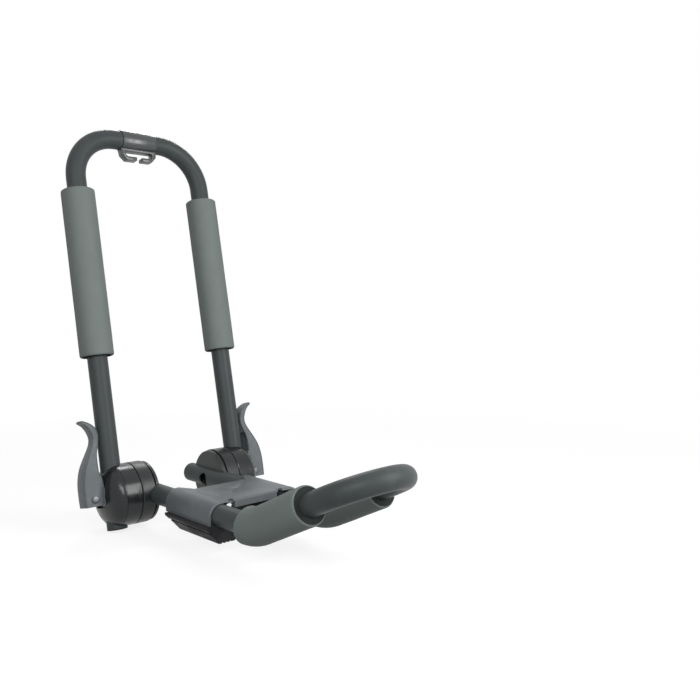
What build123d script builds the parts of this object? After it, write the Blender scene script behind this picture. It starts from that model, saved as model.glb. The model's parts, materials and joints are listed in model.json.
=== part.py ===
from build123d import *
from math import cos, radians, sin, sqrt, tan
import os

# Folding J-shaped kayak carrier, millimetres. +Z is up, +X runs along the crossbar from the
# upright towards the front cradle, +Y is the left side. The origin is the middle of the
# rubber seat that rests on the crossbar.

# Steel tube
tube_od = 25.4
tube_wall = 1.6

# Upright loop
leg_lean = 11.87
leg_spacing = 187.6
leg_stub = 40.5
arch_height = 476.0
arch_bend = 60.0

# Base loop
base_spacing = 101.0
base_tail = 47.5
base_corner = 243.0
base_lift = 1.7
arm_angle = 25.0
arm_length = 167.0
arm_bend = 60.0

# Foam sleeves
foam_od = 42.8
foam_rim = 2.5
leg_foam_from = 178.6
leg_foam_length = 220.0
arm_foam_from = 228.0
arm_foam_reach = 98.0

# Hinge
hinge_to_seat = 130.0
hinge_height = 31.0
drum_od = 79.0
drum_edge = 0.8
face_od = 76.4
groove_od = 71.0
groove_width = 2.2
face_thickness = 4.0
face_from_base = 1.5
split_gap = 0.8
split_from_leg = 20.4
band_width = 20.6
dome_rise = 19.0
dome_step = 0.5
bolt_d = 8.0
access_hole_d = 17.5
clutch_od = 72.0

# Bolt nut, washers and eye
nut_flats = 13.0
nut_thickness = 6.5
nut_washer_od = 15.0
nut_washer_thickness = 1.6
bolt_tail = 3.0
cam_washer_od = 20.0
cam_washer_thickness = 1.2
eye_od = 14.0
eye_width = 12.0

# Cam lever
lever_width = 21.0
lever_neck_width = 13.0
lever_tip_width = 16.0
lever_cheek = 3.2
lever_face = 4.0
lever_heel = 8.5
lever_back = 12.3
lever_neck_height = 75.0
lever_neck_inset = 19.3
lever_tip_round = 4.0
lever_foot_round = 0.5
cam_reach = 13.8
cam_corner = 5.5
pin_d = 6.0
pin_head_d = 8.4
pin_head_thickness = 1.0

# Saddle plate
plate_thickness = 3.0
plate_from = 80.0
plate_length = 95.0
plate_recess = 20.0
plate_flange = 7.0
plate_notch = 7.0
skirt_drop = 10.7
slot_length = 8.0
slot_width = 3.0
slot_from = 133.0

# Rubber blocks
block_from = 84.0
block_length = 92.0
block_inner = 24.0
block_foot_inner = 33.0
block_foot_outer = 54.0
block_shoulder = 64.0
block_lip = 70.5
block_lip_thickness = 3.0
block_saddle_depth = 5.7
block_rake = 8.0
rib_groove = 2.0
rib_count = 4

# Strap hook
collar_length = 50.0
collar_wall = 1.4
hook_depth = 11.0
hook_drop = 15.0
hook_top_width = 54.0
hook_foot_width = 38.0
hook_finger = 4.8
hook_taper = 1.5
hook_root = 3.0
hook_slot_corner = 3.0
hook_slot_width = 40.0
hook_slot_height = 7.6
hook_gap = 7.8

# End caps
cap_rim = 1.5
cap_spigot = 9.0

# Clearances
run_fit = 0.05
seat_fit = 0.1
foam_fit = 0.3
lever_fit = 0.15
pocket_fit = 0.8
pocket_side = 2.5
plate_side_fit = 2.0

tube_r = tube_od / 2
tube_ir = tube_r - tube_wall
leg_y = leg_spacing / 2
base_y = base_spacing / 2
foam_r = foam_od / 2
drum_r = drum_od / 2
bolt_r = bolt_d / 2
pin_r = pin_d / 2
lean = radians(leg_lean)
rise = radians(arm_angle)

hinge = Vector(-hinge_to_seat, 0, hinge_height)
tube_z = hinge_height + base_lift
split_y = leg_y - split_from_leg
band_end = split_y + band_width
face_y = base_y - face_from_base
pocket_floor = leg_y + tube_r + 4 * seat_fit
cam_seat = pocket_floor + cam_washer_thickness
dome_apex = band_end + dome_rise
cam_sweep = sqrt((lever_heel - cam_corner) ** 2 + (cam_reach - cam_corner) ** 2) + cam_corner
pin_y = cam_seat + cam_sweep + lever_fit

# Plane of the upright: x is +Y, y runs up the leg, z is square to both
leg_plane = Plane(origin=hinge, x_dir=(0, 1, 0), z_dir=(cos(lean), 0, sin(lean)))
hinge_axis = Axis(hinge, (0, 1, 0))


def export_pair(name, shape):
    export_step(shape, f"parts/{name}_left.step")
    export_step(mirror(shape, about=Plane.XZ), f"parts/{name}_right.step")


def from_hinge(x):
    return x - hinge_to_seat


def rod(radius, start, end, plane):
    """Round bar along a plane's normal between two distances."""
    low, high = min(start, end), max(start, end)
    return plane.offset(low) * Cylinder(radius, high - low, align=(Align.CENTER, Align.CENTER, Align.MIN))


# Plane square to the hinge axis, facing +Y
across = Plane(origin=hinge, x_dir=(-1, 0, 0), z_dir=(0, 1, 0))


def swept(path, radius):
    start = Plane(origin=path @ 0, z_dir=path % 0)
    return sweep(start * Circle(radius), path=path)


def tube_along(path, outer, inner):
    return swept(path, outer) - swept(path, inner)


def turned(points):
    """Solid of revolution about the hinge axis from (radius, y) corners."""
    plan = Plane(origin=hinge, x_dir=(1, 0, 0), z_dir=(0, 0, 1))
    return revolve(plan * make_face(Polyline(*points, close=True)), hinge_axis)


def make_upright_loop():
    corners = [(-leg_y, -leg_stub), (-leg_y, arch_height), (leg_y, arch_height), (leg_y, -leg_stub)]
    path = leg_plane * FilletPolyline(*corners, radius=arch_bend)
    loop = tube_along(path, tube_r, tube_ir)
    hole = rod(bolt_r + seat_fit, leg_y - tube_od, leg_y + tube_od, across)
    return loop - hole - mirror(hole, about=Plane.XZ)


def arm_point(distance, y):
    """Point on the arm's centreline, by distance past the upward bend's corner."""
    return (from_hinge(base_corner) + distance * cos(rise), y, tube_z + distance * sin(rise))


def make_base_loop():
    tail = from_hinge(-base_tail)
    corner = from_hinge(base_corner)
    corners = [(tail, -base_y, tube_z), (corner, -base_y, tube_z), arm_point(arm_length, -base_y)]
    corners += [arm_point(arm_length, base_y), (corner, base_y, tube_z), (tail, base_y, tube_z)]
    nose = base_y - 0.5
    path = FilletPolyline(*corners, radius=[arm_bend, nose, nose, arm_bend])
    loop = tube_along(path, tube_r, tube_ir)
    for side in (across, Plane(origin=hinge, x_dir=(1, 0, 0), z_dir=(0, -1, 0))):
        loop -= rod(bolt_r + run_fit, base_y, base_y + tube_od, side)
        loop -= rod(access_hole_d / 2, base_y - tube_od, base_y, side)
    return loop


def soften_rims(sleeve):
    rims = sleeve.edges().filter_by(GeomType.CIRCLE).filter_by(lambda e: abs(e.radius - foam_r) < 0.01)
    rims = rims.filter_by(lambda e: e.is_closed)
    return fillet(rims, foam_rim)


def make_leg_foam():
    start = leg_foam_from
    path = leg_plane * Line((leg_y, start), (leg_y, start + leg_foam_length))
    return soften_rims(tube_along(path, foam_r, tube_r + foam_fit))


def make_arm_foam():
    corner = (from_hinge(base_corner), base_y, tube_z)
    ends = [(from_hinge(arm_foam_from), base_y, tube_z), corner, arm_point(arm_foam_reach, base_y)]
    setback = base_corner - arm_foam_from
    path = FilletPolyline(*ends, radius=min(arm_bend, 0.98 * setback / tan(rise / 2)))
    return soften_rims(tube_along(path, foam_r, tube_r + foam_fit))


def make_hinge_half():
    outer_y = split_y - split_gap / 2
    face_r = face_od / 2
    groove_r = groove_od / 2
    groove_y = face_y + face_thickness
    band_y = groove_y + groove_width
    bore = bolt_r + run_fit
    half = turned([(bore, face_y), (face_r - drum_edge, face_y), (face_r, face_y + drum_edge),
                   (face_r, groove_y), (groove_r, groove_y), (groove_r, band_y),
                   (drum_r - drum_edge, band_y), (drum_r, band_y + drum_edge),
                   (drum_r, outer_y - drum_edge), (drum_r - drum_edge, outer_y), (bore, outer_y)])
    channel = Plane(origin=(from_hinge(0), base_y, tube_z), z_dir=(1, 0, 0))
    return half - channel * Cylinder(tube_r + seat_fit, 2 * drum_od)


def make_housing():
    inner_y = split_y + split_gap / 2
    bore = bolt_r + seat_fit
    plan = Plane(origin=hinge, x_dir=(1, 0, 0), z_dir=(0, 0, 1))
    dome_r = drum_r - dome_step
    rim = Polyline((0, band_end + dome_rise), (0, inner_y), (drum_r - drum_edge, inner_y),
                   (drum_r, inner_y + drum_edge), (drum_r, band_end), (dome_r, band_end))
    dome = EllipticalCenterArc((0, band_end), dome_r, dome_rise, start_angle=0, arc_size=90)
    drum = revolve(plan * make_face(Curve() + [rim, dome]), hinge_axis)
    drum -= rod(bore, 0, band_end + dome_rise, across)
    leg_line = leg_plane * Pos(leg_y, 0, 0) * Rot(90, 0, 0)
    drum -= leg_line * Cylinder(tube_r + seat_fit, 2 * drum_od)
    return drum - make_pocket()


def make_pocket():
    """Slot in the dome that the lever's heel works in, open at the top."""
    width = lever_width + 2 * (pin_head_thickness + pocket_side)
    heel_sweep = sqrt(lever_heel ** 2 + lever_back ** 2)
    foot = sqrt(heel_sweep ** 2 - (pin_y - dome_apex) ** 2) + pocket_fit
    floor = Plane(origin=leg_plane.from_local_coords(Vector(pocket_floor, 0, 0)),
                  x_dir=-leg_plane.z_dir, z_dir=(0, 1, 0))
    outline = floor * Pos(0, -foot) * Rectangle(width, foot + drum_od, align=(Align.CENTER, Align.MIN))
    return extrude(outline, 2 * dome_rise)


def make_clutch_disc():
    inner_y = split_y - split_gap / 2 + seat_fit
    outer_y = split_y + split_gap / 2 - seat_fit
    return rod(clutch_od / 2, inner_y, outer_y, across) - rod(bolt_r + 2 * seat_fit, inner_y, outer_y, across)


def nut_washer_face():
    """Where a flat washer meets the round inside of the base tube."""
    return base_y + sqrt(tube_ir ** 2 - (nut_washer_od / 2 + base_lift) ** 2) - seat_fit


def make_nut_washer():
    face = nut_washer_face()
    ring = rod(nut_washer_od / 2, face - nut_washer_thickness, face, across)
    return ring - rod(bolt_r + seat_fit, face - nut_washer_thickness, face, across)


def make_nut():
    outer_y = nut_washer_face() - nut_washer_thickness - seat_fit
    inner_y = outer_y - nut_thickness
    prism = RegularPolygon(nut_flats / 2, 6, major_radius=False)
    nut = extrude(across.offset(inner_y) * prism, nut_thickness)
    return nut - rod(bolt_r + run_fit, inner_y, outer_y, across)


def make_draw_bolt():
    tail = nut_washer_face() - nut_washer_thickness - nut_thickness - bolt_tail
    eye = leg_plane * Pos(pin_y, 0, 0) * Cylinder(eye_od / 2, eye_width)
    eye_hole = leg_plane * Pos(pin_y, 0, 0) * Cylinder(pin_r + run_fit, eye_width)
    return rod(bolt_r, tail, pin_y, across) + eye - eye_hole


def make_cam_washer():
    low = pocket_floor + run_fit
    washer = rod(cam_washer_od / 2, low, cam_seat, across)
    return washer - rod(bolt_r + seat_fit, low, cam_seat, across)


def lever_point(inset, height):
    """Point of the lever's side view as shares of its neck's inset and height."""
    return (pin_y + lever_back - inset * lever_neck_inset, height * lever_neck_height)


def lever_outline():
    """Side view of the lever as (y, height up the leg), the S shape with its cam heel."""
    back = pin_y + lever_back
    bore_side = pin_y - cam_reach
    outer = Spline(lever_point(0, 0), lever_point(0, 0.21), lever_point(0.18, 0.48), lever_point(0.80, 0.83),
                   lever_point(1, 1), lever_point(0.75, 1.19), lever_point(0.36, 1.27),
                   tangents=[(0, 1), (0.9, 0.45)])
    tip = ThreePointArc(outer @ 1, lever_point(0.33, 1.30), lever_point(0.42, 1.315))
    inner = Spline(tip @ 1, lever_point(0.88, 1.256), lever_point(1.24, 1.16), lever_point(1.38, 1),
                   lever_point(1.12, 0.72), lever_point(1.09, 0.40), (bore_side, lever_heel / 2),
                   tangents=[(-0.9, -0.35), (-0.1, -1)])
    side = Line(inner @ 1, (bore_side, -lever_heel + cam_corner))
    bow = cam_corner * (1 - sqrt(0.5))
    corner = ThreePointArc(side @ 1, (bore_side + bow, bow - lever_heel), (bore_side + cam_corner, -lever_heel))
    heel = Line(corner @ 1, (back - lever_foot_round, -lever_heel))
    close = Line(heel @ 1, outer @ 0)
    return make_face(Curve() + [outer, tip, inner, side, corner, heel, close])


def lever_front():
    """Front view of the lever: wide over the cheeks, waisted at the neck, flared at the tip."""
    half, neck, tip = lever_width / 2, lever_neck_width / 2, lever_tip_width / 2
    cheek_top, top = 0.45 * lever_neck_height, 1.35 * lever_neck_height
    side = Spline((half, cheek_top), (neck, 0.96 * lever_neck_height), (tip, 1.23 * lever_neck_height),
                  (tip - lever_tip_round, top), tangents=[(0, 1), (-0.8, 0.6)])
    front = Line((tip - lever_tip_round, top), (lever_tip_round - tip, top))
    under = -2 * lever_heel
    foot = Polyline((half, cheek_top), (half, under), (-half, under), (-half, cheek_top))
    return make_face(Curve() + [side, front, mirror(side, about=Plane.YZ), foot])


def lever_hollow():
    """Side view of the channel between the cheeks, which leaves the back's wall."""
    inward = lever_face / lever_neck_inset
    wall = Spline(lever_point(inward, 0), lever_point(inward, 0.21), lever_point(0.18 + inward, 0.45),
                  lever_point(0.73 + inward, 0.75), tangents=[(0, 1), (-0.5, 0.8)])
    top, under = (wall @ 1).Y, -2 * lever_heel
    inside = pin_y - 2 * cam_reach
    rim = Polyline(wall @ 1, (inside, top), (inside, under), ((wall @ 0).X, under), wall @ 0)
    return make_face(Curve() + [wall, rim])


def make_lever():
    blade = extrude(leg_plane * lever_outline(), lever_width / 2, both=True)
    from_front = Plane(origin=leg_plane.from_local_coords(Vector(pin_y, 0, 0)), x_dir=leg_plane.z_dir,
                       z_dir=(0, -1, 0))
    blade &= extrude(from_front * lever_front(), 2 * lever_neck_height, both=True)
    blade -= extrude(leg_plane * lever_hollow(), lever_width / 2 - lever_cheek, both=True)
    return blade - leg_plane * Pos(pin_y, 0, 0) * Cylinder(pin_r + run_fit, 2 * lever_width)


def make_lever_pin():
    length = lever_width + 2 * run_fit
    pin = Cylinder(pin_r, length) + Pos(0, 0, length / 2 + pin_head_thickness / 2) * Cylinder(
        pin_head_d / 2, pin_head_thickness)
    pin += Pos(0, 0, -length / 2 - pin_head_thickness / 2) * Cylinder(pin_head_d / 2, pin_head_thickness)
    rims = pin.edges().filter_by(GeomType.CIRCLE).group_by(Axis.Z)
    pin = chamfer(rims[0] + rims[-1], pin_head_thickness / 3)
    return leg_plane * Pos(pin_y, 0, 0) * pin


def cap(end, outward):
    """Tube plug with a rim over the tube's end."""
    seat = Plane(origin=end, z_dir=outward)
    rim = Cylinder(tube_r, cap_rim, align=(Align.CENTER, Align.CENTER, Align.MIN))
    rim = fillet(rim.edges().group_by(Axis.Z)[-1], cap_rim * 0.8)
    spigot = Cylinder(tube_ir - seat_fit, cap_spigot, align=(Align.CENTER, Align.CENTER, Align.MAX))
    return seat * (rim + spigot)


def make_leg_cap():
    end = leg_plane.from_local_coords(Vector(leg_y, -leg_stub, 0))
    return cap(end, -leg_plane.y_dir)


def make_base_cap():
    return cap(Vector(from_hinge(-base_tail), base_y, tube_z), Vector(-1, 0, 0))


def make_base_plate():
    inner = tube_r + seat_fit
    outer = inner + plate_thickness
    foot = tube_z - skirt_drop
    half_top = Line((0, tube_z + outer), (base_y, tube_z + outer))
    over = CenterArc((base_y, tube_z), outer, 90, -90)
    skirt = Polyline(over @ 1, (base_y + outer, foot), (base_y + inner, foot), (base_y + inner, tube_z))
    under = CenterArc((base_y, tube_z), inner, 0, 90)
    half_under = Polyline(under @ 1, (0, tube_z + inner), (0, tube_z + outer))
    half = make_face(Curve() + [half_top, over, skirt, under, half_under])
    section = half + mirror(half, about=Plane.YZ)
    start = Plane(origin=(from_hinge(plate_from), 0, 0), x_dir=(0, 1, 0), z_dir=(1, 0, 0))
    plate = extrude(start * section, plate_length)
    top = tube_z + outer
    back = from_hinge(plate_from)
    front = back + plate_length
    inset = base_y - tube_r
    above = Plane(origin=(0, 0, top + 1))
    recess = Polyline((back - 1, plate_side_fit - base_y), (back + plate_recess, -inset),
                      (back + plate_recess, inset), (back - 1, base_y - plate_side_fit), close=True)
    plate -= extrude(above * make_face(recess), -3 * plate_thickness)
    for side in (-1, 1):
        notch = above * Pos(front, side * (inset - plate_notch / 4)) * Rectangle(2 * plate_notch, plate_notch)
        plate -= extrude(notch, -3 * plate_thickness)
    slot = above * Pos(from_hinge(slot_from), 0) * Rot(0, 0, 90) * SlotOverall(slot_length, slot_width)
    plate -= extrude(slot, -3 * plate_thickness)
    flange_half = inset - plate_notch
    flange = Pos(front, 0, top) * Box(plate_thickness, 2 * flange_half, plate_flange + plate_thickness,
                                      align=(Align.MAX, Align.CENTER, Align.MAX))
    plate += flange
    bend = plate.edges().filter_by(Axis.Y).filter_by(
        lambda e: abs(e.center().X - front) < 0.01 and abs(e.center().Z - top) < 0.01)
    return fillet(bend, plate_thickness * 0.8)


def make_crossbar_block():
    top = tube_z - block_saddle_depth
    lip_top = tube_z - skirt_drop - seat_fit
    skirt_in = base_y + tube_r - foam_fit
    outline = Polyline((block_foot_inner, 0), (block_foot_outer, 0), (block_shoulder, lip_top * 0.55),
                       (block_lip, lip_top - block_lip_thickness), (block_lip, lip_top), (skirt_in, lip_top),
                       (skirt_in, top), (base_y - tube_r, top), (block_inner, lip_top * 0.6),
                       (block_inner, lip_top * 0.25), close=True)
    start = Plane(origin=(from_hinge(block_from), 0, 0), x_dir=(0, 1, 0), z_dir=(1, 0, 0))
    block = extrude(start * make_face(outline), block_length)
    bed = Plane(origin=(from_hinge(block_from), base_y, tube_z), z_dir=(1, 0, 0))
    block -= bed * Cylinder(tube_r + seat_fit, 3 * block_length)
    # Ribbed sole and one long groove in the sloping side
    step = (block_foot_outer - block_foot_inner) / rib_count
    for n in range(1, rib_count):
        groove = start * Pos(block_foot_inner + n * step, 0) * Rectangle(rib_groove, 2 * rib_groove)
        block -= extrude(groove, block_length)
    side_groove = start * Pos(block_shoulder + rib_groove / 2, lip_top * 0.62) * Rectangle(2 * rib_groove, rib_groove)
    block -= extrude(side_groove, block_length)
    # The rear end is cut back towards the sole
    rear = from_hinge(block_from)
    rake = Polyline((rear - 1, -1), (rear + block_rake, -1), (rear, lip_top), (rear - 1, lip_top), close=True)
    cut = Plane(origin=(0, block_lip + 5, 0), x_dir=(1, 0, 0), z_dir=(0, -1, 0)) * make_face(rake)
    return block - extrude(cut, block_lip)


def make_strap_hook():
    arch_line = leg_plane * Pos(0, arch_height, 0) * Rot(0, 90, 0)
    bore = arch_line * Cylinder(tube_r + run_fit, 2 * hook_top_width)
    collar = arch_line * Cylinder(tube_r + collar_wall, collar_length)
    under = arch_height - tube_r
    foot = under - hook_drop
    finger = foot + hook_finger
    slot_top = finger + hook_slot_height
    top_half, foot_half = hook_top_width / 2, hook_foot_width / 2
    slot_half, gap_half = hook_slot_width / 2, hook_gap / 2
    shoulder = finger + hook_slot_height * 0.3
    half = Polyline((0, under + hook_root), (top_half, under + hook_root), (top_half - hook_taper, shoulder),
                    (foot_half, foot), (gap_half, foot), (gap_half, finger), (slot_half - hook_slot_corner, finger),
                    (slot_half, shoulder), (slot_half, slot_top), (0, slot_top), close=True)
    outline = make_face(half)
    outline += mirror(outline, about=Plane.YZ)
    hook = extrude(leg_plane * outline, hook_depth / 2, both=True)
    return collar + hook - bore


os.makedirs("parts", exist_ok=True)
export_step(make_upright_loop(), "parts/upright_loop.step")
export_step(make_base_loop(), "parts/base_loop.step")
export_step(make_base_plate(), "parts/base_plate.step")
export_step(make_strap_hook(), "parts/strap_hook.step")
export_pair("upright_pad", make_leg_foam())
export_pair("arm_pad", make_arm_foam())
export_pair("hinge_half", make_hinge_half())
export_pair("housing", make_housing())
export_pair("clutch_disc", make_clutch_disc())
export_pair("nut_washer", make_nut_washer())
export_pair("bolt_nut", make_nut())
export_pair("draw_bolt", make_draw_bolt())
export_pair("cam_washer", make_cam_washer())
export_pair("lever", make_lever())
export_pair("lever_pin", make_lever_pin())
export_pair("leg_cap", make_leg_cap())
export_pair("base_end_cap", make_base_cap())
export_pair("crossbar_block", make_crossbar_block())
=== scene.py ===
"""Folding J-shaped kayak carrier: its foam sleeves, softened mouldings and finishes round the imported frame.

The upright stands at the back (-X), the front cradle points to +X, and the left side is +Y.
"""

import json
from math import cos, pi, radians, sin, tan

import bmesh
import bpy
from mathutils import Euler, Matrix, Vector


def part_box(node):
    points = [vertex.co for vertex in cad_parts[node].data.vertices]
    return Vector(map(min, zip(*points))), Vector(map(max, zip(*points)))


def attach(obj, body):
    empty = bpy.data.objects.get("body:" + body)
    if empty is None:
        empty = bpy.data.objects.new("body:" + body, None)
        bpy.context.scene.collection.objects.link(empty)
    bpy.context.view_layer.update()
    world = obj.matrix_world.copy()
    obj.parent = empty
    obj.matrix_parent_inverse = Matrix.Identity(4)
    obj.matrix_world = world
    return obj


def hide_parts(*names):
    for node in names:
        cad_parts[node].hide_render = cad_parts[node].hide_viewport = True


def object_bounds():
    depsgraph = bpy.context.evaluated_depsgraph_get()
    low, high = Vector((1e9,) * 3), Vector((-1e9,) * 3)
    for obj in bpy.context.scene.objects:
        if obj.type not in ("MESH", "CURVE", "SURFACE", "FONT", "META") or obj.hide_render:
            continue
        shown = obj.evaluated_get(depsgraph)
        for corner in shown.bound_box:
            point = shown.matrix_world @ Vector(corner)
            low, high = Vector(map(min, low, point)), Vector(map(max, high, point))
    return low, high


bl_info = {
    "name": "Kayak Carrier",
    "version": (1, 0, 0),
    "blender": (4, 5, 0),
    "location": "View3D > Sidebar > Carrier",
    "description": "Dresses the frame of a folding kayak carrier with foam sleeves, mouldings and finishes",
    "category": "Add Mesh",
}

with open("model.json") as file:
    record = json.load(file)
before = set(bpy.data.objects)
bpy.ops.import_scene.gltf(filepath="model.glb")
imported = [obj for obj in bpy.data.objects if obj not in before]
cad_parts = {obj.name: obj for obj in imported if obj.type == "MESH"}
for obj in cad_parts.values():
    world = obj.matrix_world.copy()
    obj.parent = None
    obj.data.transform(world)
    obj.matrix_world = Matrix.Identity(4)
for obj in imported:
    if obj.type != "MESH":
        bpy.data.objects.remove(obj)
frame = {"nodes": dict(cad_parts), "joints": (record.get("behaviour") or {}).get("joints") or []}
CAD_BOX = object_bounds()
MM = 0.001
SIDES = {"left": 1, "right": -1}


def joint(name):
    """One joint of the frame, by name."""
    return next(j for j in frame["joints"] if j["name"] == name)


def box_middle(node):
    low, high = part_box(node)
    return (low + high) / 2


def box_size(node):
    low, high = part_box(node)
    return high - low


# Places that the frame gives: the hinge, the lean of the upright, the tubes, the foam and the floor
HINGE = Vector(joint("fold")["pos_m"])
SQUARE = Vector(joint("lever_right_open")["axis"]).normalized()
ACROSS = Vector((0, 1, 0))
UP_LEG = SQUARE.cross(ACROSS)
LEG_Y = box_middle("leg_cap_left").y
BASE_Y = box_middle("base_end_cap_left").y
BASE_Z = box_middle("base_end_cap_left").z
TUBE_R = box_size("base_end_cap_left").z / 2
FOAM_R = box_size("upright_pad_left").y / 2
FLOOR_Z = CAD_BOX[0].z

# Softboxes: name, place, width and height in metres, power in watts
LAMPS = (
    ("key_box", (0.95, 0.42, 0.55), (0.45, 0.80), 9.5),
    ("front_box", (0.95, -0.80, 0.70), (0.45, 0.60), 6.8),
    ("left_box", (0.45, -0.96, 0.68), (0.22, 0.30), 2),
    ("back_box", (-0.80, 0.50, 1.00), (0.60, 0.12), 4),
)

# The photograph's viewpoint, worked out from the carrier's edges
CAMERA_PLACE = (0.79883, -0.55737, 0.28056)
CAMERA_AZIMUTH = radians(46.71)
CAMERA_PITCH = radians(-3.76)
CAMERA_ROLL = radians(-0.16)
CAMERA_LENS = 40.99
CAMERA_SENSOR = 36


class CarrierSizes(bpy.types.PropertyGroup):
    """Sizes of the foam sleeves and of the details on the levers and pins."""

    leg_foam_from: bpy.props.FloatProperty(
        name="Leg foam start", description="Height of the leg sleeves' lower ends above the hinge",
        default=178.6 * MM, min=0.1, max=0.25, unit="LENGTH")
    leg_foam_length: bpy.props.FloatProperty(
        name="Leg foam length", description="Length of the sleeves on the upright's legs",
        default=220 * MM, min=0.1, max=0.26, unit="LENGTH")
    arm_corner: bpy.props.FloatProperty(
        name="Arm corner", description="Distance from the hinge to the base tubes' upward bend",
        default=243 * MM, min=0.2, max=0.3, unit="LENGTH")
    arm_angle: bpy.props.FloatProperty(
        name="Arm angle", description="Rise of the front arms over the crossbar",
        default=radians(25), min=radians(10), max=radians(45), subtype="ANGLE")
    arm_bend: bpy.props.FloatProperty(
        name="Arm bend", description="Centreline radius of the base tubes' upward bend",
        default=60 * MM, min=0.04, max=0.09, unit="LENGTH")
    arm_foam_lead: bpy.props.FloatProperty(
        name="Arm foam lead", description="How far the arm sleeves start before the bend's corner",
        default=15 * MM, min=0.013, max=0.04, unit="LENGTH")
    arm_foam_reach: bpy.props.FloatProperty(
        name="Arm foam reach", description="How far the arm sleeves run past the bend's corner",
        default=98 * MM, min=0.05, max=0.12, unit="LENGTH")
    foam_rim: bpy.props.FloatProperty(
        name="Foam rim", description="Rounding of the sleeves' outer rims",
        default=2.5 * MM, min=0.0005, max=0.006, unit="LENGTH")
    foam_gap: bpy.props.FloatProperty(
        name="Foam gap", description="Slack between a sleeve's bore and its tube",
        default=0.3 * MM, min=0.0001, max=0.001, unit="LENGTH")
    foam_unevenness: bpy.props.FloatProperty(
        name="Foam unevenness", description="How far the skin wanders from a true cylinder",
        default=0.35 * MM, min=0, max=0.001, unit="LENGTH")
    cheek_border: bpy.props.FloatProperty(
        name="Cheek border", description="Width of the border round a lever's sunken cheek",
        default=0.9 * MM, min=0.0005, max=0.002, unit="LENGTH")
    cheek_depth: bpy.props.FloatProperty(
        name="Cheek depth", description="How deep a lever's cheek is sunk inside its border",
        default=1.3 * MM, min=0.0002, max=0.002, unit="LENGTH")
    pin_rim: bpy.props.FloatProperty(
        name="Pin rim", description="Width of the rim round the dish of a pin's head",
        default=1.5 * MM, min=0.0005, max=0.003, unit="LENGTH")
    pin_dish: bpy.props.FloatProperty(
        name="Pin dish", description="Depth of the dish in a pin's head",
        default=0.5 * MM, min=0.0001, max=0.0008, unit="LENGTH")
    ring_points: bpy.props.IntProperty(
        name="Ring points", description="Points round each sleeve", default=96, min=16, max=160)


class CarrierColours(bpy.types.PropertyGroup):
    """Colours of the carrier's finishes."""

    tube: bpy.props.FloatVectorProperty(
        name="Tube paint", description="Powder coat on the bent tubes", subtype="COLOR",
        size=3, min=0, max=1, default=(0.057, 0.065, 0.067))
    plate: bpy.props.FloatVectorProperty(
        name="Plate paint", description="Powder coat on the saddle plate", subtype="COLOR",
        size=3, min=0, max=1, default=(0.138, 0.150, 0.160))
    foam: bpy.props.FloatVectorProperty(
        name="Foam skin", description="Outer skin of the foam sleeves", subtype="COLOR",
        size=3, min=0, max=1, default=(0.172, 0.198, 0.188))
    drum: bpy.props.FloatVectorProperty(
        name="Drum", description="Glossy moulded hinge shells", subtype="COLOR",
        size=3, min=0, max=1, default=(0.016, 0.018, 0.019))
    lever: bpy.props.FloatVectorProperty(
        name="Lever", description="Satin cam levers", subtype="COLOR",
        size=3, min=0, max=1, default=(0.128, 0.142, 0.150))
    rubber: bpy.props.FloatVectorProperty(
        name="Rubber", description="Seat blocks and end caps", subtype="COLOR",
        size=3, min=0, max=1, default=(0.016, 0.016, 0.018))


def sizes():
    return bpy.context.scene.carrier_sizes


def colours():
    return bpy.context.scene.carrier_colours


def on_leg(y, height, out=0.0):
    """Point at a place across the carrier, a height up the leg and a distance square to both."""
    return HINGE + ACROSS * y + UP_LEG * height + SQUARE * out


class Value:
    """A shader socket that Python arithmetic can use."""

    def __init__(self, finish, socket):
        self.finish = finish
        self.socket = socket

    def maths(self, operation, first, second, clamp=False):
        settings = {"operation": operation, "use_clamp": clamp}
        return self.finish.add("ShaderNodeMath", settings, {0: first, 1: second}, 0)

    def __add__(self, other):
        return self.maths("ADD", self, other)

    def __radd__(self, other):
        return self.maths("ADD", other, self)

    def __sub__(self, other):
        return self.maths("SUBTRACT", self, other)

    def __rsub__(self, other):
        return self.maths("SUBTRACT", other, self)

    def __mul__(self, other):
        return self.maths("MULTIPLY", self, other)

    def __rmul__(self, other):
        return self.maths("MULTIPLY", other, self)

    def above(self, level, softness):
        """0 under the level and 1 over it, with a soft edge."""
        return self.maths("MULTIPLY", self - (level - softness / 2), 1 / softness, clamp=True)

    def spread(self, low, high):
        """This value, from 0 to 1, spread between two numbers."""
        return self * (high - low) + low


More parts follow.
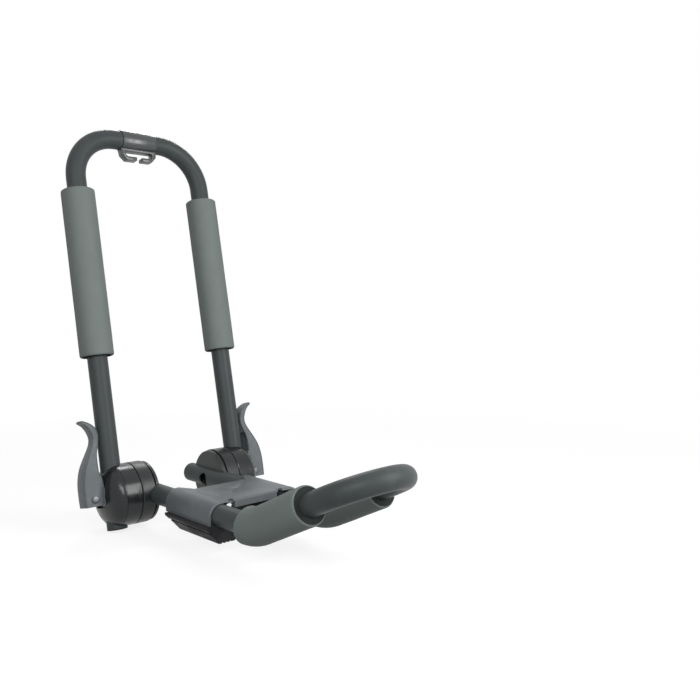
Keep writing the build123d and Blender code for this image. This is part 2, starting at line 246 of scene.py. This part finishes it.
class Finish:
    """A material under construction."""

    def __init__(self, name):
        self.material = bpy.data.materials.new(name)
        self.material.use_nodes = True
        self.tree = self.material.node_tree
        self.shader = self.tree.nodes["Principled BSDF"]
        self.place = self.add("ShaderNodeTexCoord", {}, {}, "Object")

    def add(self, kind, settings, inputs, output):
        """Adds a node, with its settings first, then its inputs, and gives one of its outputs."""
        node = self.tree.nodes.new(kind)
        for key, value in settings.items():
            setattr(node, key, value)
        for key, value in inputs.items():
            self.feed(node.inputs[key], value)
        return Value(self, node.outputs[output])

    def feed(self, socket, value):
        if isinstance(value, Value):
            self.tree.links.new(value.socket, socket)
        else:
            socket.default_value = value

    def set(self, key, value):
        self.feed(self.shader.inputs[key], value)

    def noise(self, scale, detail=3.0, stretch=(1, 1, 1)):
        place = self.add("ShaderNodeMapping", {}, {"Vector": self.place, "Scale": stretch}, 0)
        return self.add("ShaderNodeTexNoise", {}, {"Vector": place, "Scale": scale, "Detail": detail}, "Fac")

    def cells(self, scale):
        inputs = {"Vector": self.place, "Scale": scale}
        return self.add("ShaderNodeTexVoronoi", {}, inputs, "Distance")

    def mix(self, factor, first, second):
        colours = {6: first, 7: second}
        inputs = {k: v if isinstance(v, Value) else (*v, 1.0) for k, v in colours.items()}
        return self.add("ShaderNodeMix", {"data_type": "RGBA"}, {0: factor, **inputs}, 2)

    def bump(self, height, distance, strength=1.0):
        wanted = {"Height": height, "Distance": distance, "Strength": strength}
        self.set("Normal", self.add("ShaderNodeBump", {}, wanted, "Normal"))


def shade(colour, factor):
    return tuple(min(1.0, c * factor) for c in colour)


def powder_coat(name, colour, roughness=0.42):
    """Satin powder coat: fine orange peel, faint cloudiness and dull handling marks."""
    finish = Finish(name)
    cloud = finish.noise(14, 2)
    rubbed = finish.noise(60, 4, (1, 1, 0.3)).above(0.62, 0.14)
    tone = finish.mix(cloud, shade(colour, 0.86), shade(colour, 1.16))
    tone = finish.mix(rubbed * 0.22, tone, shade(colour, 1.7))
    finish.set("Base Color", tone)
    finish.set("Roughness", finish.noise(900, 2).spread(roughness - 0.06, roughness + 0.06) + rubbed * 0.08)
    finish.set("Specular IOR Level", 0.14)
    finish.bump(finish.noise(520, 2) * 0.7 + finish.noise(1500, 1) * 0.3, 0.00012, 0.35)
    return finish.material


def foam_skin(name, colour):
    """Closed-cell foam in its moulded skin: fine pores with painted shade in their pits, slight mottling and
    drag marks.
    """
    finish = Finish(name)
    mottle = finish.noise(38, 4)
    pore_pits_and_shade = finish.cells(1500).above(0.18, 0.25)
    drag = finish.noise(90, 3, (1, 1, 0.08)).above(0.62, 0.2)
    tone = finish.mix(mottle, shade(colour, 0.90), shade(colour, 1.10))
    tone = finish.mix(drag * 0.2, tone, shade(colour, 1.25))
    # Painted shade: the pores' pits are darkened.
    tone = finish.mix((1 - pore_pits_and_shade) * 0.2, tone, shade(colour, 0.55))
    finish.set("Base Color", tone)
    finish.set("Roughness", mottle.spread(0.62, 0.78))
    finish.set("Specular IOR Level", 0.2)
    finish.bump(pore_pits_and_shade * 0.5 + finish.noise(700, 3) * 0.9, 0.00025, 0.5)
    return finish.material


def foam_cut_painted_shade(name, colour):
    """The sawn end of the foam: open and dull, darker than the skin, and darkened further as painted shade,
    most of all in the open cells.
    """
    finish = Finish(name)
    cells = finish.cells(1100)
    # Painted shade: the end colour is a much darkened foam colour, darkest in the open cells.
    finish.set("Base Color", finish.mix(cells.above(0.3, 0.4), shade(colour, 0.10), shade(colour, 0.26)))
    finish.set("Roughness", 0.95)
    finish.set("Specular IOR Level", 0.0)
    finish.bump(cells + finish.noise(500, 3), 0.0006, 0.8)
    return finish.material


def moulded_gloss(name, colour, roughness=0.2, shine=0.35):
    """Glossy moulding: flow lines, a little dust and dull scuffs."""
    finish = Finish(name)
    flow = finish.noise(30, 3, (1, 0.35, 1))
    dust = finish.noise(420, 3).above(0.64, 0.12)
    scuff = finish.noise(75, 4, (0.5, 1.5, 1)).above(0.60, 0.15)
    tone = finish.mix(flow, shade(colour, 0.8), shade(colour, 1.3))
    finish.set("Base Color", finish.mix(dust * 0.08, tone, shade(colour, 7)))
    finish.set("Roughness", flow.spread(roughness - 0.05, roughness + 0.07) + scuff * 0.14)
    finish.set("Specular IOR Level", shine)
    finish.bump(flow * 0.6 + finish.noise(600, 2) * 0.1, 0.0004, 0.25)
    return finish.material


def satin_plastic(name, colour, roughness=0.48):
    """Glass-filled plastic with a fine spark-eroded grain and paler rubbed patches."""
    finish = Finish(name)
    patch = finish.noise(45, 3)
    rubbed = finish.noise(130, 4).above(0.63, 0.15)
    tone = finish.mix(patch, shade(colour, 0.84), shade(colour, 1.18))
    finish.set("Base Color", finish.mix(rubbed * 0.25, tone, shade(colour, 1.9)))
    finish.set("Roughness", patch.spread(roughness - 0.07, roughness + 0.08))
    finish.set("Specular IOR Level", 0.25)
    finish.bump(finish.noise(1300, 2), 0.0001, 0.5)
    return finish.material


def moulded_rubber(name, colour):
    """Moulded rubber with a dry bloom."""
    finish = Finish(name)
    bloom = finish.noise(55, 4).above(0.5, 0.3)
    finish.set("Base Color", finish.mix(bloom * 0.5, colour, shade(colour, 2.4)))
    finish.set("Roughness", bloom.spread(0.55, 0.8))
    finish.set("Specular IOR Level", 0.2)
    finish.bump(finish.noise(900, 3), 0.00015, 0.5)
    return finish.material


def zinc_plate(name):
    """Zinc-plated steel with turning marks."""
    finish = Finish(name)
    marks = finish.noise(260, 3, (1, 8, 1))
    finish.set("Base Color", finish.mix(marks, (0.06, 0.06, 0.065), (0.16, 0.16, 0.17)))
    finish.set("Metallic", 1.0)
    finish.set("Roughness", marks.spread(0.28, 0.42))
    finish.bump(marks, 0.00005, 0.5)
    return finish.material


def only(piece):
    bpy.ops.object.select_all(action="DESELECT")
    piece.select_set(True)
    bpy.context.view_layer.objects.active = piece


def start_ring(name, radius, centre, heading):
    """A ring of points square to its heading, left selected in edit mode."""
    bpy.ops.object.select_all(action="DESELECT")
    turn = Vector(heading).to_track_quat("Z", "Y").to_euler()
    bpy.ops.mesh.primitive_circle_add(vertices=sizes().ring_points, radius=radius,
                                      location=centre, rotation=turn)
    piece = bpy.context.object
    piece.name = name
    piece.data.name = name
    bpy.ops.object.transform_apply(location=True, rotation=True, scale=True)
    bpy.ops.object.mode_set(mode="EDIT")
    bpy.ops.mesh.select_all(action="SELECT")
    return piece


def extrude_by(move):
    bpy.ops.mesh.extrude_region_move(TRANSFORM_OT_translate={"value": tuple(move)})


def grow_ring(centre, factor):
    """Extrudes the selected ring in its own plane to a larger or smaller one."""
    extrude_by((0, 0, 0))
    bpy.ops.transform.resize(value=(factor, factor, factor), center_override=tuple(centre))


def follow(centre, moves):
    """Carries the selected ring along straight runs and round bends, and gives its new centre."""
    for kind, amount, steps, *pivot in moves:
        if kind == "run":
            for _ in range(steps):
                extrude_by(amount / steps)
            centre = centre + amount
        else:
            middle, axis = pivot
            bpy.ops.mesh.spin(steps=steps, angle=-amount, center=tuple(middle), axis=tuple(axis))
            centre = middle + Matrix.Rotation(amount, 3, axis) @ (centre - middle)
    return centre


def backwards(moves):
    return [(kind, -amount, *rest) for kind, amount, *rest in reversed(moves)]


def close_up():
    """Merges doubles and turns the faces outwards."""
    bpy.ops.mesh.select_all(action="SELECT")
    bpy.ops.mesh.remove_doubles(threshold=0.00001)
    bpy.ops.mesh.normals_make_consistent(inside=False)


def bevel_rims(piece, centres, radius, width, segments):
    """Rounds the rings of edges at a radius round the given centres."""
    bpy.ops.mesh.select_mode(type="EDGE")
    bpy.ops.mesh.select_all(action="DESELECT")
    mesh = bmesh.from_edit_mesh(piece.data)
    for edge in mesh.edges:
        places = [v.co for v in edge.verts]
        edge.select = any(all(abs((p - c).length - radius) < 0.05 * MM for p in places) for c in centres)
    bmesh.update_edit_mesh(piece.data)
    bpy.ops.mesh.bevel(offset=width, segments=segments, affect="EDGES")


def finish_with(piece, kind, **settings):
    """Adds a modifier and applies it."""
    only(piece)
    modifier = piece.modifiers.new(kind.title(), kind)
    for key, value in settings.items():
        setattr(modifier, key, value)
    bpy.ops.object.modifier_apply(modifier=modifier.name)


def cleaned_copy(node):
    """A copy of a frame node with its facets merged into clean faces, left in edit mode."""
    piece = bpy.data.objects.new(f"{node}_soft", frame["nodes"][node].data.copy())
    bpy.context.scene.collection.objects.link(piece)
    only(piece)
    bpy.ops.mesh.customdata_custom_splitnormals_clear()
    bpy.ops.object.mode_set(mode="EDIT")
    bpy.ops.mesh.select_all(action="SELECT")
    bpy.ops.mesh.remove_doubles(threshold=0.000005)
    bpy.ops.mesh.dissolve_limited(angle_limit=radians(1.5))
    return piece


def recess(piece, picked, border, depth):
    """Sinks the picked faces, less a border, into the piece."""
    bpy.ops.mesh.select_mode(type="FACE")
    bpy.ops.mesh.select_all(action="DESELECT")
    mesh = bmesh.from_edit_mesh(piece.data)
    for face in mesh.faces:
        face.select = picked(face)
    bmesh.update_edit_mesh(piece.data)
    bpy.ops.mesh.inset(thickness=border, depth=-depth, use_even_offset=True)


def soften(piece, width):
    """Rounds the sharp edges as a moulding's or a pressing's are."""
    bpy.ops.object.mode_set(mode="OBJECT")
    finish_with(piece, "BEVEL", width=width, segments=2, limit_method="ANGLE",
                angle_limit=radians(30), use_clamp_overlap=True)
    return piece


def softened_copy(node, width):
    return soften(cleaned_copy(node), width)


def dress(piece, body, slot, material, *nodes):
    """Shades, paints and hangs a finished piece on its body, in place of its frame nodes."""
    only(piece)
    bpy.ops.object.shade_smooth_by_angle(angle=radians(32))
    if piece.data.materials:
        piece.data.materials[0] = material
    else:
        piece.data.materials.append(material)
    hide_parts(*nodes)
    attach(piece, body)


def repaint(material, *nodes):
    """Gives frame nodes that keep their own shape a better finish."""
    for name in nodes:
        node = frame["nodes"][name]
        node.data.materials.clear()
        node.data.materials.append(material)


def pair(stem):
    return [f"{stem}_{side}" for side in SIDES]


class CARRIER_OT_foam(bpy.types.Operator):
    """Slide the foam sleeves onto the legs and arms"""

    bl_idname = "carrier.foam"
    bl_label = "Foam sleeves"

    def execute(self, context):
        skin = foam_skin("foam", colours().foam)
        cut_shade = foam_cut_painted_shade("foam_cut_painted_shade", colours().foam)
        for side, sign in SIDES.items():
            start, moves = leg_route(sign)
            sleeve = foam_sleeve(f"leg_sleeve_{side}", start, moves, cut_shade)
            dress(sleeve, "upright", "foam", skin, f"upright_pad_{side}")
            start, moves = arm_route(sign)
            sleeve = foam_sleeve(f"arm_sleeve_{side}", start, moves, cut_shade)
            dress(sleeve, "base", "foam", skin, f"arm_pad_{side}")
        return {"FINISHED"}


def leg_route(sign):
    start = on_leg(LEG_Y * sign, sizes().leg_foam_from)
    return start, [("run", UP_LEG * sizes().leg_foam_length, 44)]


def arm_route(sign):
    """From before the upward bend, round it and up the arm."""
    angle, bend = sizes().arm_angle, sizes().arm_bend
    setback = bend * tan(angle / 2)
    corner = HINGE.x + sizes().arm_corner
    start = Vector((corner - sizes().arm_foam_lead, BASE_Y * sign, BASE_Z))
    middle = Vector((corner - setback, BASE_Y * sign, BASE_Z + bend))
    arm = Vector((cos(angle), 0, sin(angle)))
    return start, [
        ("run", Vector((sizes().arm_foam_lead - setback, 0, 0)), 1),
        ("turn", -angle, 6, middle, ACROSS),
        ("run", arm * (sizes().arm_foam_reach - setback), 18),
    ]


def foam_sleeve(name, start, moves, cut_shade):
    """A thick foam tube, carried out along its route and back through its bore."""
    bore = TUBE_R + sizes().foam_gap
    piece = start_ring(name, bore, start, moves[0][1])
    grow_ring(start, FOAM_R / bore)
    end = follow(start, moves)
    grow_ring(end, bore / FOAM_R)
    follow(end, backwards(moves))
    close_up()
    bevel_rims(piece, (start, end), FOAM_R, sizes().foam_rim, 5)
    bpy.ops.object.mode_set(mode="OBJECT")
    roughen(piece)
    piece.data.materials.append(cut_shade)
    piece.data.materials.append(cut_shade)
    paint_ends(piece, (start, moves[0][1]), (end, moves[-1][1]))
    return piece


def roughen(piece):
    """Lets the skin wander a little from a true cylinder."""
    texture = bpy.data.textures.get("foam_wander") or bpy.data.textures.new("foam_wander", "CLOUDS")
    texture.noise_scale = 0.03
    finish_with(piece, "DISPLACE", texture=texture, texture_coords="LOCAL",
                strength=sizes().foam_unevenness, mid_level=0.5)


def paint_ends(piece, *ends):
    """Gives the flat end faces the sawn foam's finish, with its painted shade."""
    for face in piece.data.polygons:
        for place, heading in ends:
            near = abs((face.center - place).dot(heading.normalized())) < 0.4 * MM
            if near and abs(face.normal.dot(heading.normalized())) > 0.9:
                face.material_index = 1


class CARRIER_OT_tubes(bpy.types.Operator):
    """Powder coat the bent tubes and finish their plugs"""

    bl_idname = "carrier.tubes"
    bl_label = "Tubes and end caps"

    def execute(self, context):
        repaint(powder_coat("tube_paint", colours().tube), "upright_loop", "base_loop")
        repaint(moulded_rubber("cap_plastic", colours().rubber), *pair("leg_cap"), *pair("base_end_cap"))
        return {"FINISHED"}


class CARRIER_OT_hinges(bpy.types.Operator):
    """Finish the hinge drums and the metal inside them"""

    bl_idname = "carrier.hinges"
    bl_label = "Hinges"

    def execute(self, context):
        repaint(moulded_gloss("housing_gloss", colours().drum), *pair("housing"))
        repaint(moulded_gloss("hinge_shell", colours().drum, 0.34), *pair("hinge_half"))
        repaint(moulded_rubber("clutch_rubber", shade(colours().rubber, 0.6)), *pair("clutch_disc"))
        steel = zinc_plate("steel")
        for stem in ("lever_pin", "draw_bolt", "bolt_nut", "nut_washer", "cam_washer"):
            repaint(steel, *pair(stem))
        return {"FINISHED"}


class CARRIER_OT_levers(bpy.types.Operator):
    """Mould the cam levers with softened edges"""

    bl_idname = "carrier.levers"
    bl_label = "Cam levers"

    def execute(self, context):
        nylon = satin_plastic("lever_nylon", colours().lever)
        steel = zinc_plate("pin_steel")
        for side in SIDES:
            body = f"lever_arm_{side}"
            dress(moulded_lever(side), body, "lever_nylon", nylon, f"lever_{side}")
            dress(dished_pin(side), body, "steel", steel, f"lever_pin_{side}")
        return {"FINISHED"}


def moulded_lever(side):
    """A lever whose outer cheeks are sunk inside a thin border."""
    lever = cleaned_copy(f"lever_{side}")
    recess(lever, outer_cheek, sizes().cheek_border, sizes().cheek_depth)
    return soften(lever, 0.35 * MM)


def dished_pin(side):
    """A cross pin with a dish in each head."""
    pin = cleaned_copy(f"lever_pin_{side}")
    tip = box_size(f"lever_pin_{side}").x / 2
    recess(pin, lambda face: abs(out_of_square(face.calc_center_median())) > 0.97 * tip,
           sizes().pin_rim, sizes().pin_dish)
    return soften(pin, 0.15 * MM)


def out_of_square(place):
    """Distance of a point in front of the plane of the upright's legs."""
    return (place - HINGE).dot(SQUARE)


def outer_cheek(face):
    """Whether a face is on the outside of a lever's cheek."""
    facing = face.normal.dot(SQUARE)
    return abs(facing) > 0.85 and facing * out_of_square(face.calc_center_median()) > 0


class CARRIER_OT_saddle(bpy.types.Operator):
    """Press the saddle plate and mould its rubber blocks"""

    bl_idname = "carrier.saddle"
    bl_label = "Saddle plate and rubber"

    def execute(self, context):
        plate = softened_copy("base_plate", 0.5 * MM)
        dress(plate, "base", "plate_paint", powder_coat("plate_paint", colours().plate, 0.38), "base_plate")
        rubber = moulded_rubber("seat_rubber", colours().rubber)
        for side in SIDES:
            block = softened_copy(f"crossbar_block_{side}", 0.5 * MM)
            dress(block, "base", "seat_rubber", rubber, f"crossbar_block_{side}")
        return {"FINISHED"}


class CARRIER_OT_clip(bpy.types.Operator):
    """Mould the strap clip under the arch"""

    bl_idname = "carrier.clip"
    bl_label = "Strap clip"

    def execute(self, context):
        clip = softened_copy("strap_hook", 0.6 * MM)
        gloss = moulded_gloss("hook_plastic", shade(colours().drum, 2.4), 0.26, 0.7)
        dress(clip, "upright", "hook_plastic", gloss, "strap_hook")
        return {"FINISHED"}


class CARRIER_OT_stage(bpy.types.Operator):
    """Set up the floor, the lights and the camera"""

    bl_idname = "carrier.stage"
    bl_label = "Stage"

    def execute(self, context):
        lay_floor()
        light_world()
        for lamp in LAMPS:
            hang_lamp(*lamp)
        place_camera()
        context.scene.view_settings.view_transform = "Standard"
        return {"FINISHED"}


def lay_floor():
    bpy.ops.object.select_all(action="DESELECT")
    bpy.ops.mesh.primitive_circle_add(vertices=96, radius=4, fill_type="NGON",
                                      location=(0, 0, FLOOR_Z - 0.5 * MM))
    floor = bpy.context.object
    floor.name = "floor"
    bpy.ops.object.transform_apply(location=True, rotation=True, scale=True)
    finish = Finish("floor_white")
    flat = finish.add("ShaderNodeVectorMath", {"operation": "LENGTH"}, {0: finish.place}, "Value")
    away = flat.above(0.8, 0.8)
    glow = finish.mix(away, (0.82,) * 3, (1, 1, 1))
    finish.set("Base Color", finish.mix(away, (0.25,) * 3, (0, 0, 0)))
    finish.set("Roughness", 0.9)
    finish.set("Specular IOR Level", 0.0)
    finish.set("Emission Color", finish.mix(directly_seen(finish), (0, 0, 0), glow))
    finish.set("Emission Strength", 1.0)
    floor.data.materials.append(finish.material)


def directly_seen(finish):
    """1 for what the camera sees, straight, mirrored or through glass."""
    seen = finish.add("ShaderNodeLightPath", {}, {}, "Is Camera Ray")
    for name in ("Is Glossy Ray", "Is Transmission Ray"):
        seen = seen.maths("MAXIMUM", seen, finish.add("ShaderNodeLightPath", {}, {}, name))
    return seen


def light_world():
    """Plain grey light, with white behind the object wherever it is seen or reflected."""
    world = bpy.data.worlds.new("studio")
    bpy.context.scene.world = world
    world.use_nodes = True
    tree = world.node_tree
    background = tree.nodes["Background"]
    background.inputs["Color"].default_value = (1, 1, 1, 1)
    path = tree.nodes.new("ShaderNodeLightPath")
    seen = path.outputs["Is Camera Ray"]
    for name in ("Is Glossy Ray", "Is Transmission Ray"):
        both = tree.nodes.new("ShaderNodeMath")
        both.operation = "MAXIMUM"
        tree.links.new(seen, both.inputs[0])
        tree.links.new(path.outputs[name], both.inputs[1])
        seen = both.outputs[0]
    level = tree.nodes.new("ShaderNodeMapRange")
    level.inputs["To Min"].default_value = 0.22
    level.inputs["To Max"].default_value = 1.0
    tree.links.new(seen, level.inputs["Value"])
    tree.links.new(level.outputs["Result"], background.inputs["Strength"])


def hang_lamp(name, place, size, power):
    """A softbox that faces the middle of the carrier."""
    bpy.ops.object.select_all(action="DESELECT")
    aim = (CAD_BOX[0] + CAD_BOX[1]) / 2
    turn = (aim - Vector(place)).to_track_quat("-Z", "Y").to_euler()
    bpy.ops.object.light_add(type="AREA", location=place, rotation=turn)
    lamp = bpy.context.object
    lamp.name = name
    lamp.data.shape = "RECTANGLE"
    lamp.data.size, lamp.data.size_y = size
    lamp.data.energy = power


def place_camera():
    """Stands the camera where the photograph was taken."""
    bpy.ops.object.select_all(action="DESELECT")
    level = Euler((pi / 2 + CAMERA_PITCH, 0, CAMERA_AZIMUTH)).to_matrix()
    turn = level @ Matrix.Rotation(CAMERA_ROLL, 3, "Z")
    bpy.ops.object.camera_add(location=CAMERA_PLACE, rotation=turn.to_euler())
    camera = bpy.context.object
    camera.data.lens = CAMERA_LENS
    camera.data.sensor_width = CAMERA_SENSOR
    bpy.context.scene.camera = camera


class CARRIER_PT_panel(bpy.types.Panel):
    """Lists the carrier's pieces"""

    bl_idname = "CARRIER_PT_panel"
    bl_label = "Kayak carrier"
    bl_space_type = "VIEW_3D"
    bl_region_type = "UI"
    bl_category = "Carrier"

    def draw(self, context):
        for operator in OPERATORS:
            self.layout.operator(operator.bl_idname)
        for group in (context.scene.carrier_sizes, context.scene.carrier_colours):
            for name in group.bl_rna.properties.keys():
                if name not in ("rna_type", "name"):
                    self.layout.prop(group, name)


OPERATORS = (CARRIER_OT_foam, CARRIER_OT_tubes, CARRIER_OT_hinges, CARRIER_OT_levers, CARRIER_OT_saddle,
             CARRIER_OT_clip, CARRIER_OT_stage)
CLASSES = (CarrierSizes, CarrierColours, *OPERATORS, CARRIER_PT_panel)


def register():
    for item in CLASSES:
        bpy.utils.register_class(item)
    bpy.types.Scene.carrier_sizes = bpy.props.PointerProperty(type=CarrierSizes)
    bpy.types.Scene.carrier_colours = bpy.props.PointerProperty(type=CarrierColours)


def unregister():
    del bpy.types.Scene.carrier_colours
    del bpy.types.Scene.carrier_sizes
    for item in reversed(CLASSES):
        bpy.utils.unregister_class(item)


def main():
    register()
    bpy.ops.carrier.foam()
    bpy.ops.carrier.tubes()
    bpy.ops.carrier.hinges()
    bpy.ops.carrier.levers()
    bpy.ops.carrier.saddle()
    bpy.ops.carrier.clip()
    bpy.ops.carrier.stage()


if __name__ == "__main__":
    main()
